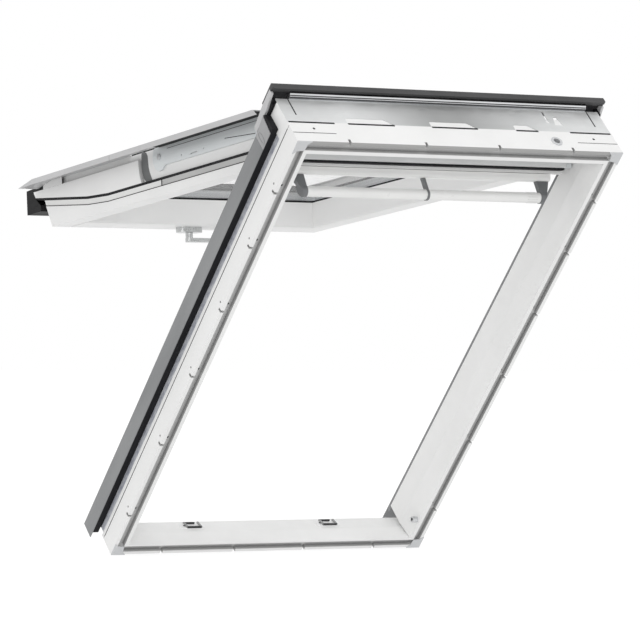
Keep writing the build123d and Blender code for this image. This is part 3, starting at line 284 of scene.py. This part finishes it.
def glazing(name, lean):
    """Clear pane without refraction, a shade blue-grey, with a faint film of dust."""
    f = Finish(name, 0.0)
    f.set("Alpha", 0.12)
    film = f.noise(f.place, FILM_SCALE, 4.0)
    f.wear("Base Color", f.blend(f.spread(film, 0.0, 1.0), (0.955, 0.965, 0.97), (0.985, 0.99, 0.99)))
    f.wear("Roughness", f.spread(film, 0.02, 0.08))
    return f.material


# Coated slots: dark and light of the colour, roughness, then coat and depth of the painted crevice shade
COATED = {
    "white_frame": ((0.81, 0.81, 0.805), (0.86, 0.86, 0.855), 0.42, 0.15, 0.28),
    "white_sash": ((0.80, 0.80, 0.795), (0.85, 0.85, 0.845), 0.40, 0.15, 0.28),
    "grey_plastic": ((0.56, 0.57, 0.58), (0.62, 0.63, 0.64), 0.5),
    "white_plastic": ((0.78, 0.78, 0.77), (0.83, 0.83, 0.82), 0.32, 0.2),
    "rail_white": ((0.70, 0.71, 0.71), (0.76, 0.77, 0.77), 0.38),
    "white_strip": ((0.74, 0.74, 0.73), (0.80, 0.80, 0.79), 0.4),
    "dark_cladding": ((0.17, 0.175, 0.18), (0.23, 0.235, 0.24), 0.36, 0.1),
    "light_cladding": ((0.46, 0.46, 0.465), (0.54, 0.54, 0.545), 0.34, 0.1, 0.25),
    "black_cap": ((0.016, 0.016, 0.017), (0.034, 0.034, 0.036), 0.38),
}

# Brushed slots: dark and light of the colour, roughness, then metallic and stretch of the streaks
BRUSHED = {
    "bright_metal": ((0.50, 0.51, 0.52), (0.72, 0.73, 0.74), 0.33),
    "arm_metal": ((0.66, 0.69, 0.70), (0.80, 0.83, 0.84), 0.4, 0.3),
    "silver_bead": ((0.55, 0.56, 0.57), (0.78, 0.79, 0.80), 0.28, 1.0, (60.0, 1.0, 60.0)),
    "spacer_metal": ((0.42, 0.43, 0.44), (0.60, 0.61, 0.62), 0.35),
    "handle_metal": ((0.52, 0.53, 0.53), (0.70, 0.71, 0.71), 0.3, 0.9),
}

OTHERS = {"galvanised_plate": galvanised, "foil": foil, "seal_rubber": rubber, "clear_glass": glazing}


def look_of(slot, name, lean):
    """New material in the look of a slot."""
    for table, maker in ((COATED, coated), (BRUSHED, brushed)):
        if slot in table:
            dark, light, rough, *rest = table[slot]
            return maker(name, dark, light, rough, lean, *rest)
    return OTHERS[slot](name, lean)


made = {}


def shared_look(slot, lean):
    """The one material that all pieces of a slot and a slope share."""
    if (slot, lean) not in made:
        made[slot, lean] = look_of(slot, f"{slot}_{round(math.degrees(lean))}", lean)
    return made[slot, lean]


def dress(name, look):
    mesh = nodes[name].data
    mesh.materials.clear()
    mesh.materials.append(look)


for part in frame["record"]["subparts"]:
    on_frame = nodes[part["node"]]["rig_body"] == "frame"
    dress(part["node"], shared_look(part["material_slot"], FRAME_LEAN if on_frame else SASH_LEAN))

# The apron and its ends at the sash's foot are darker than the other claddings
apron_look = coated("apron_black", (0.003, 0.003, 0.0035), (0.010, 0.010, 0.011), 0.62, SASH_LEAN)
Finish.around(apron_look).set("Specular IOR Level", 0.22)
dress("bottom_apron", apron_look)

# The head covers are a shade darker than the casings, the bar's brackets are dark, and the upper
# edge strips are darker than the lower ones
cover_look = coated("cover_grey", (0.30, 0.30, 0.305), (0.37, 0.37, 0.375), 0.36, FRAME_LEAN, 0.1)
bracket_look = coated("bracket_grey", (0.12, 0.125, 0.13), (0.18, 0.185, 0.19), 0.45, SASH_LEAN)
strip_look = coated("strip_grey", (0.42, 0.42, 0.415), (0.52, 0.52, 0.515), 0.4, SASH_LEAN)
dress("head_cover_left", cover_look)
dress("head_cover_right", cover_look)
dress("bar_brackets", bracket_look)
dress("edge_strip_upper_left", strip_look)
dress("edge_strip_upper_right", strip_look)

# Grey painted shade on the head member between its nail notches and its groove. The face is flat: the
# grey stands in for the shade in a groove that is wider than the solid's.
STRIP_LOW, STRIP_HIGH, ROOM_FACE, FADE = 1.1685, 1.1790, -0.0234, 0.0006
GROOVE_SHADE_GREY = (0.36, 0.36, 0.355)
head_look = look_of("white_frame", "white_head", FRAME_LEAN)
f = Finish.around(head_look)
up_slope = f.dot((0.0, -math.sin(FRAME_LEAN), math.cos(FRAME_LEAN)))
outwards = f.dot((0.0, math.cos(FRAME_LEAN), math.sin(FRAME_LEAN)))
above_low = f.spread(up_slope, 0.0, 1.0, STRIP_LOW, STRIP_LOW + FADE)
below_high = f.spread(up_slope, 1.0, 0.0, STRIP_HIGH - FADE, STRIP_HIGH)
on_face = f.spread(outwards, 1.0, 0.0, ROOM_FACE, ROOM_FACE + FADE)
f.overlay(f.maths("MULTIPLY", f.maths("MULTIPLY", above_low, below_high), on_face), GROOVE_SHADE_GREY)
dress("frame_top", head_look)

# Strikers: pale plates with dark raised parts, told apart by height above the reveal
REVEAL_NORMAL, REVEAL_HEIGHT, PLATE_HEIGHT, PLATE_FADE = (0.0, -0.449, 0.893), 0.02661, 0.0022, 0.0004
RAISED_GREY = (0.30, 0.30, 0.30)
hooks = brushed("striker_hooks", (0.80, 0.80, 0.80), (0.90, 0.90, 0.90), 0.4, FRAME_LEAN, 0.1)
f = Finish.around(hooks)
plate_top = REVEAL_HEIGHT + PLATE_HEIGHT
f.overlay(f.spread(f.dot(REVEAL_NORMAL), 0.0, 1.0, plate_top, plate_top + PLATE_FADE), RAISED_GREY)
dress("strikers", hooks)


# Small trim around the solids, drawn like them with the window shut and flat: across the
# window, outwards from the room side and up the slope, in millimetres
HINGE_OUT, HINGE_UP, OPEN_ANGLE, ORIGIN_OUT = 132.0, 1168.0, math.radians(41.0), 23.5
PIVOT_OUT, PIVOT_UP, SASH_WALL, RECESS_PLATE = 106.0, 575.0, 333.5, 0.3


def placed(across, out, up, moving):
    """Point of the shut window in the row's frame, in metres."""
    if moving:
        rise, reach = up - HINGE_UP, out - HINGE_OUT
        up = HINGE_UP + rise * math.cos(OPEN_ANGLE) + reach * math.sin(OPEN_ANGLE)
        out = HINGE_OUT - rise * math.sin(OPEN_ANGLE) + reach * math.cos(OPEN_ANGLE)
    level = out - ORIGIN_OUT
    return Vector((across, level * math.cos(FRAME_LEAN) - up * math.sin(FRAME_LEAN),
                   level * math.sin(FRAME_LEAN) + up * math.cos(FRAME_LEAN))) * MM


def trim(name, body, slot, outline, start, end, look=None):
    """Bar of one outline, given as outwards and up-slope pairs, from start to end across."""
    moving = body != "frame"
    points = [placed(across, *p, moving) for across in (start, end) for p in outline]
    n = len(outline)
    faces = [list(range(n)), list(range(2 * n - 1, n - 1, -1))]
    faces += [[i, n + i, n + (i + 1) % n, (i + 1) % n] for i in range(n)]
    mesh = bpy.data.meshes.new(name)
    mesh.from_pydata([tuple(p) for p in points], [], faces)
    mesh.update()
    outer = bmesh.new()
    outer.from_mesh(mesh)
    bmesh.ops.recalc_face_normals(outer, faces=outer.faces)
    outer.to_mesh(mesh)
    outer.free()
    piece = bpy.data.objects.new(name, mesh)
    bpy.context.scene.collection.objects.link(piece)
    mesh.materials.append(look or shared_look(slot, SASH_LEAN if moving else FRAME_LEAN))
    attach(piece, body)


def bar(low, high, near, far):
    """Outline of a plain bar between two depths and two heights."""
    return ((low, near), (high, near), (high, far), (low, far))


def about_pivot(turns):
    """Outline from pairs of a turn in degrees and a distance from the mid-height pivot."""
    return [(PIVOT_OUT + reach * math.sin(math.radians(turn)),
             PIVOT_UP + reach * math.cos(math.radians(turn))) for turn, reach in turns]


shade_look = coated("recess_shade", (0.10, 0.105, 0.105), (0.16, 0.165, 0.165), 0.5, SASH_LEAN)

FOOT_CHEEK = ((112.2, 14.0), (120.5, 14.0), (127.3, 56.0), (127.3, 110.0), (112.2, 110.0))
APRON_END = ((111.9, -61.9), (78.1, -61.9), (78.1, -4.0), (91.8, -23.8), (107.8, -36.8), (111.9, -36.8))
# The band's outline is a dark strip of painted shade in the gap along the sash's band
BAND_GAP_SHADE = ((71.9, 25.0), (47.5, 233.0), (41.5, 333.0), (41.5, 1105.0), (43.2, 1105.0), (43.2, 333.0),
              (49.2, 233.0), (73.6, 25.0))
ARM_CREASE = ((102.6, 869.0), (93.8, 1000.0), (95.2, 1000.0), (104.0, 869.0))
CRESCENT = about_pivot((
    (164, 91), (172, 91), (182, 91), (192, 91), (202, 90), (212, 84), (222, 72),
    (228, 62), (216, 60), (204, 60), (192, 60), (180, 60), (170, 62), (164, 70)))

# Trim on both sides: name, body, slot, outline, nearest and farthest place across, own look
SIDE_TRIM = (
    # Rubber bead that closes the slit between the glass cover and the casing's tongue. Its black is also
    # painted shade of the slit.
    ("pivot_lip", "sash", "seal_rubber", bar(127.2, 131.9, 439.5, 562.0), 328.2, 333.3, None),
    # White cheek above the foot of the sash, and the closed end of the apron
    ("foot_cheek", "sash", "white_sash", FOOT_CHEEK, 341.05, 341.7, None),
    ("apron_end", "sash", "dark_cladding", APRON_END, 339.8, 341.0, apron_look),
    # Black strip under the upper casing, painted shade of the gap between the casing and the arm, and a
    # black line of painted shade in the crease along the arm's upper edge
    ("casing_gap_shade", "lifting_arms", "seal_rubber", bar(126.2, 127.4, 580.0, 1070.0), 338.3, 386.0, None),
    ("arm_edge", "lifting_arms", "seal_rubber", bar(119.2, 120.2, 612.0, 1074.0), 338.0, 338.35, None),
    # Rubber filling between the hood's end and the head
    ("hood_filling", "frame", "seal_rubber", bar(124.1, 143.4, 1134.0, 1176.0), 388.0, 395.8, None),
    # Dark strips along the frame's side and along the band of the sash, painted shade of the narrow gaps
    # there, and a black line in the head
    ("ledge_gap_shade", "frame", "seal_rubber", bar(46.6, 48.8, 8.0, 1168.0), 388.9, 390.12, None),
    ("band_gap_shade", "sash", "seal_rubber", BAND_GAP_SHADE, 340.8, 341.12, None),
    ("ledge_line", "frame", "black_cap", bar(25.7, 27.3, 1177.5, 1178.2), 290.0, 389.0, None),
    # Dark grey plate in the recess between the arm's round end and the arc of the sash's wall. It
    # stands in for the shade there, and shows as a patch when the sash is turned over.
    ("end_shade", "sash", "white_sash", CRESCENT, SASH_WALL, SASH_WALL + RECESS_PLATE, shade_look),
    # Painted shade in dark strips: in the crease of the arm, in the joint between the two edge strips and
    # in the gap behind the plate's end slit
    ("arm_crease", "lifting_arms", "seal_rubber", ARM_CREASE, 337.9, 338.25, None),
    ("strip_joint_shade", "sash", "seal_rubber", bar(43.2, 55.2, 585.8, 588.2), 340.8, 341.2, None),
    ("slit_gap_shade", "frame", "seal_rubber", bar(81.0, 129.0, 1176.6, 1178.15), 358.7, 361.3, None),
)
for hand, s in SIDES:
    for name, body, slot, outline, near, far, look in SIDE_TRIM:
        trim(f"{name}_{hand}", body, slot, outline, s * near, s * far, look)

# Dark strips below the steel plate, painted shadow in the gaps under its cut-outs, between places across
PLATE_SHADOW_SPANS = ((-387.0, -281.0), (-249.0, -140.0), (-51.0, 59.0), (153.0, 207.0), (286.0, 387.0))
PLATE_SHADOW_OUTLINE = bar(56.4, 60.5, 1176.0, 1178.3)
for count, (start, end) in enumerate(PLATE_SHADOW_SPANS, 1):
    trim(f"plate_shadow_{count}", "frame", "seal_rubber", PLATE_SHADOW_OUTLINE, start, end)

# Dark lines and a bright one along the bead under the cap
BEAD_END = 356.5
BEAD_SHADOW = ((131.3, 1184.9), (133.4, 1187.9), (132.9, 1188.3), (130.8, 1185.3))
BEAD_EDGE = bar(128.9, 130.1, 1176.6, 1179.4)
BEAD_GROOVE = bar(129.5, 130.2, 1180.2, 1184.4)
bead_dark = brushed("bead_dark", (0.04, 0.04, 0.042), (0.09, 0.09, 0.095), 0.4, FRAME_LEAN, 0.3)
trim("bead_shadow", "frame", "silver_bead", BEAD_SHADOW, -BEAD_END, BEAD_END, bead_dark)
trim("bead_edge", "frame", "silver_bead", BEAD_EDGE, -BEAD_END, BEAD_END)
bead_shade = brushed("bead_shade", (0.05, 0.05, 0.052), (0.11, 0.11, 0.115), 0.4, FRAME_LEAN, 0.3)
trim("bead_groove", "frame", "silver_bead", BEAD_GROOVE, -BEAD_END, BEAD_END, bead_shade)


def disc(name, slot, centre, normal, radius, height):
    """Short round plug on the frame, standing along a direction of the row's frame."""
    bpy.ops.mesh.primitive_cylinder_add(vertices=20, radius=radius * MM, depth=height * MM, location=centre)
    piece = bpy.context.object
    piece.name = name
    piece.rotation_mode = "QUATERNION"
    piece.rotation_quaternion = Vector(normal).to_track_quat("Z", "Y")
    piece.data.materials.append(shared_look(slot, FRAME_LEAN))
    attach(piece, "frame")


# Black discs in the lining groove, painted shade of its nail holes, seen as dark dots
NAIL_ROWS = (133.0, 346.0, 545.0, 730.0, 906.0, 1053.0)
NAIL_ACROSS, NAIL_OUT, NAIL_RADIUS, NAIL_HEIGHT = 374.0, 10.0, 2.6, 0.6
ROOM = (0.0, -math.cos(FRAME_LEAN), -math.sin(FRAME_LEAN))
for hand, s in SIDES:
    for count, row in enumerate(NAIL_ROWS, 1):
        disc(f"nail_hole_{hand}_{count}", "seal_rubber", placed(s * NAIL_ACROSS, NAIL_OUT, row, False),
             ROOM, NAIL_RADIUS, NAIL_HEIGHT)

# Dark hooks of the strikers and the screws in their ends, on the draining reveal
LOCK_PLACE, ALONG, ABOVE, REVEAL = 172.0, (0.960, -0.281), (0.281, 0.960), (63.5, 16.0)
HOOK_LOW, HOOK_HIGH = 1.9, 6.4
SCREW_ABOVE, SCREW_RADIUS, SCREW_HEIGHT = 2.0, 2.9, 1.0
# Each hook: name, its two edges along the reveal, and its start and end across from the middle
HOOKS = (("front", -11.3, -8.7, -17.5, 17.5), ("back", 6.6, 9.0, -16.0, 8.0))
SCREWS = (("a", -20.0), ("b", 20.0))


def on_reveal(along, above):
    """Outwards and up-slope place of a point along and above the reveal."""
    return tuple(REVEAL[i] + ALONG[i] * along + ABOVE[i] * above for i in (0, 1))


for hand, s in SIDES:
    middle = s * LOCK_PLACE
    for name, near, far, start, end in HOOKS:
        outline = (on_reveal(near, HOOK_LOW), on_reveal(far, HOOK_LOW),
                   on_reveal(far, HOOK_HIGH), on_reveal(near, HOOK_HIGH))
        trim(f"hook_{name}_{hand}", "frame", "black_cap", outline, middle + start, middle + end)
    for side, offset in SCREWS:
        centre = placed(middle + offset, *on_reveal(0.0, SCREW_ABOVE), False)
        disc(f"striker_screw_{hand}_{side}", "black_cap", centre, REVEAL_NORMAL, SCREW_RADIUS, SCREW_HEIGHT)


# Floor and world
def backdrop_rays(tree):
    """1 for camera, mirror and see-through rays, which see the plain white background."""
    rays = tree.nodes.new("ShaderNodeLightPath")
    total = rays.outputs["Is Camera Ray"]
    for ray in ("Is Glossy Ray", "Is Transmission Ray"):
        most = tree.nodes.new("ShaderNodeMath")
        most.operation = "MAXIMUM"
        tree.links.new(total, most.inputs[0])
        tree.links.new(rays.outputs[ray], most.inputs[1])
        total = most.outputs[0]
    return total


def by_ray(tree, other, seen, socket):
    """Drive a strength: one value for light on the object, another for the background as seen."""
    level = tree.nodes.new("ShaderNodeMapRange")
    level.inputs["To Min"].default_value = other
    level.inputs["To Max"].default_value = seen
    tree.links.new(backdrop_rays(tree), level.inputs["Value"])
    tree.links.new(level.outputs["Result"], socket)


WHITE = (1.0, 1.0, 1.0, 1.0)
WORLD_LIGHT, WORLD_SEEN = 0.80, 1.0
world = bpy.data.worlds.new("studio")
bpy.context.scene.world = world
world.use_nodes = True
sky = world.node_tree.nodes["Background"]
sky.inputs["Color"].default_value = WHITE
by_ray(world.node_tree, WORLD_LIGHT, WORLD_SEEN, sky.inputs["Strength"])

FLOOR_SIZE, FLOOR_GAP = 80.0, 0.002
FLOOR_COLOUR = (0.35, 0.35, 0.35, 1.0)
FLOOR_LIGHT, FLOOR_SEEN = 0.50, 0.76
bpy.ops.mesh.primitive_plane_add(size=FLOOR_SIZE, location=(0.0, 0.0, cad_box[0].z - FLOOR_GAP))
floor = bpy.context.object
floor.name = "floor"
paper = bpy.data.materials.new("paper")
paper.use_nodes = True
shader = paper.node_tree.nodes["Principled BSDF"]
shader.inputs["Base Color"].default_value = FLOOR_COLOUR
shader.inputs["Roughness"].default_value = 1.0
shader.inputs["Specular IOR Level"].default_value = 0.0
shader.inputs["Emission Color"].default_value = WHITE
by_ray(paper.node_tree, FLOOR_LIGHT, FLOOR_SEEN, shader.inputs["Emission Strength"])
floor.data.materials.append(paper)

# Lamps: name, direction, strength and spread in degrees
LAMPS = (("key", (0.42, 0.88, -0.05), 1.0, 35.0), ("fill", (0.45, 0.35, -0.80), 0.45, 40.0))
for name, direction, strength, spread in LAMPS:
    data = bpy.data.lights.new(name, "SUN")
    data.energy = strength
    data.angle = math.radians(spread)
    light = bpy.data.objects.new(name, data)
    bpy.context.scene.collection.objects.link(light)
    light.rotation_mode = "QUATERNION"
    light.rotation_quaternion = Vector(direction).to_track_quat("-Z", "Y")

# Camera at the photograph's place and angle, a long lens from the lower left
CAMERA_PLACE = (-4.1585, -7.4307, 0.4549)
CAMERA_FORWARD = (0.5006, 0.8657, 0.0047)
CAMERA_RIGHT = (0.8656, -0.5006, 0.0069)
CAMERA_LENS, CAMERA_SENSOR, CAMERA_REACH = 216.1, 36.0, 200.0
camera_data = bpy.data.cameras.new("camera")
camera_data.lens = CAMERA_LENS
camera_data.sensor_width = CAMERA_SENSOR
camera_data.clip_end = CAMERA_REACH
camera = bpy.data.objects.new("camera", camera_data)
bpy.context.scene.collection.objects.link(camera)
forward = Vector(CAMERA_FORWARD).normalized()
right = Vector(CAMERA_RIGHT)
right = (right - forward * right.dot(forward)).normalized()
up = right.cross(forward)
camera.matrix_world = Matrix.Translation(CAMERA_PLACE) @ Matrix(
    (right, up, -forward)).transposed().to_4x4()
bpy.context.scene.camera = camera

bpy.context.scene.view_settings.view_transform = "Standard"
